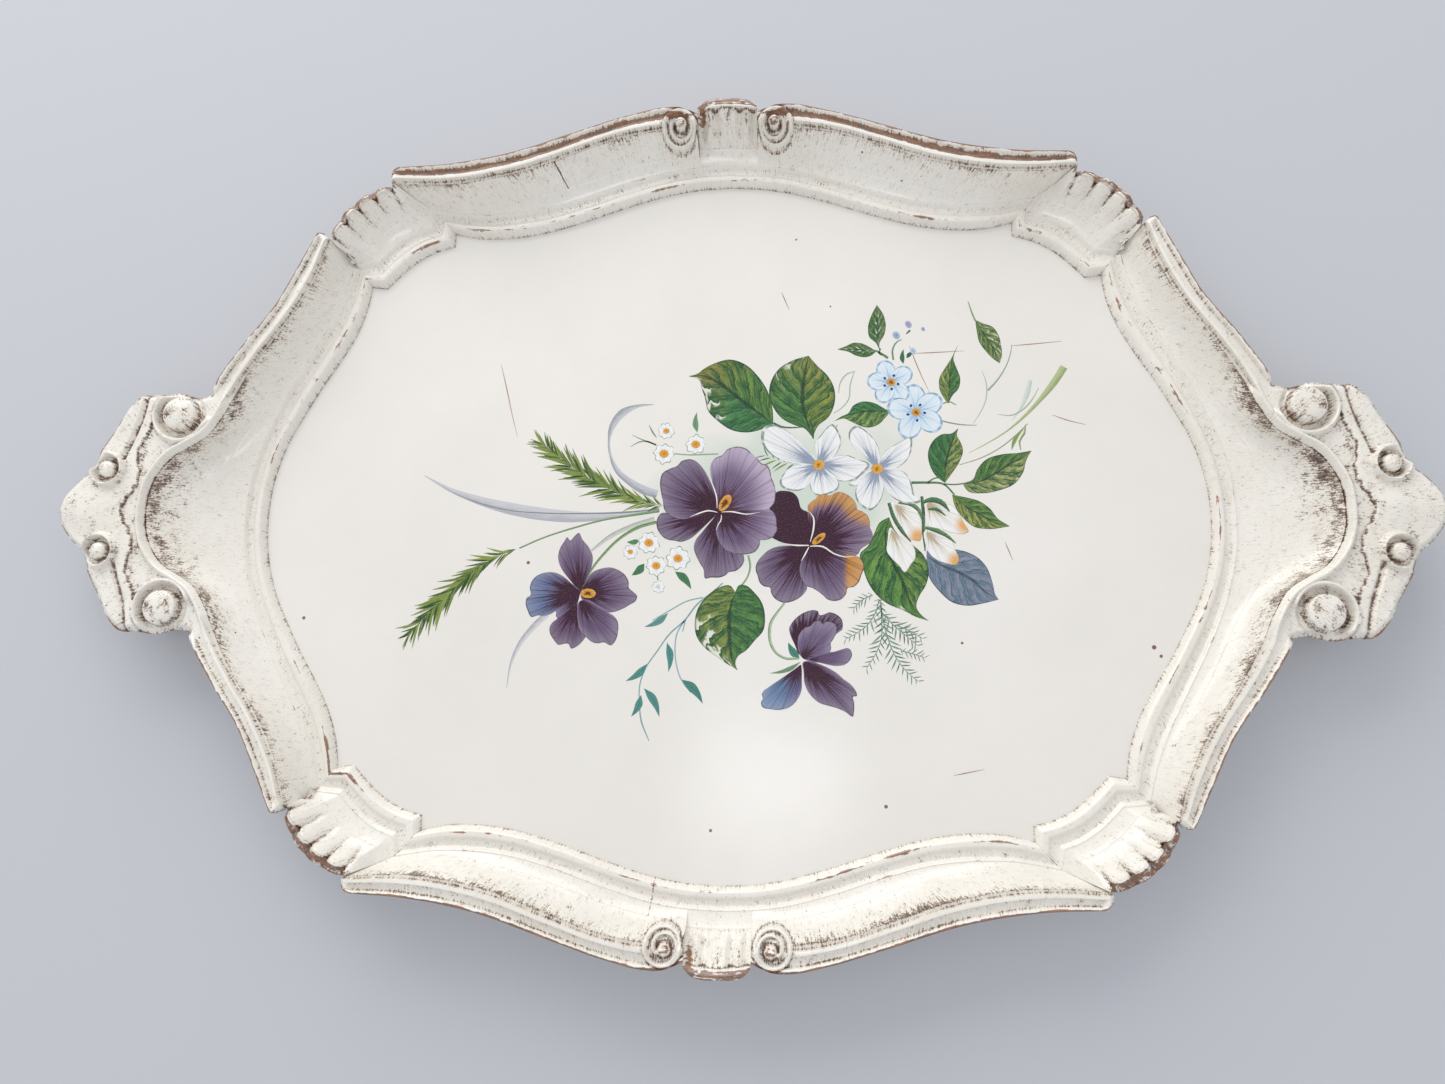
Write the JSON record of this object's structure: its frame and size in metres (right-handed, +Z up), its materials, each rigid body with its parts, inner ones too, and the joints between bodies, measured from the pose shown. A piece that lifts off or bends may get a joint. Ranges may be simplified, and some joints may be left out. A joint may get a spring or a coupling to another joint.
{
  "type": "carved wooden serving tray",
  "caption": "Scalloped oblong serving tray of painted carved wood with a beaded inner moulding, corner shells, scrolls and two carved handles.",
  "frame": {"origin": "middle of the flat underside of the base board", "axes": "+X along the length from handle to handle, +Y across the width, +Z up out of the painted face"},
  "size_m": [0.508, 0.324, 0.0285],
  "materials": {
    "painted_panel": "cream paint with a floral transfer under clear gloss varnish",
    "painted_rim": "cream paint, brown glaze in the hollows, worn edges, clear gloss varnish",
    "bare_wood": "plain turned dowel"
  },
  "bodies": {
    "root": {"base_board": "painted_panel", "bead_top": "painted_rim", "bead_left": "painted_rim", "bead_right": "painted_rim", "bead_bottom_left": "painted_rim", "bead_bottom_right": "painted_rim", "bead_corner_top_left": "painted_rim", "bead_corner_top_right": "painted_rim", "bead_corner_bottom_left": "painted_rim", "bead_corner_bottom_right": "painted_rim", "crest_top": "painted_rim", "crest_bottom": "painted_rim", "rail_top_left_scroll": "painted_rim", "rail_top_left_outer": "painted_rim", "rail_top_right": "painted_rim", "rail_bottom_left": "painted_rim", "rail_bottom_right": "painted_rim", "shell_top_left": "painted_rim", "shell_top_right": "painted_rim", "shell_bottom_left": "painted_rim", "shell_bottom_right": "painted_rim", "side_rail_top_left": "painted_rim", "side_rail_top_right": "painted_rim", "side_rail_bottom_left": "painted_rim", "side_rail_bottom_right": "painted_rim", "handle_left": "painted_rim", "handle_right": "painted_rim", "handle_dowels": "bare_wood"}
  },
  "joints": []
}
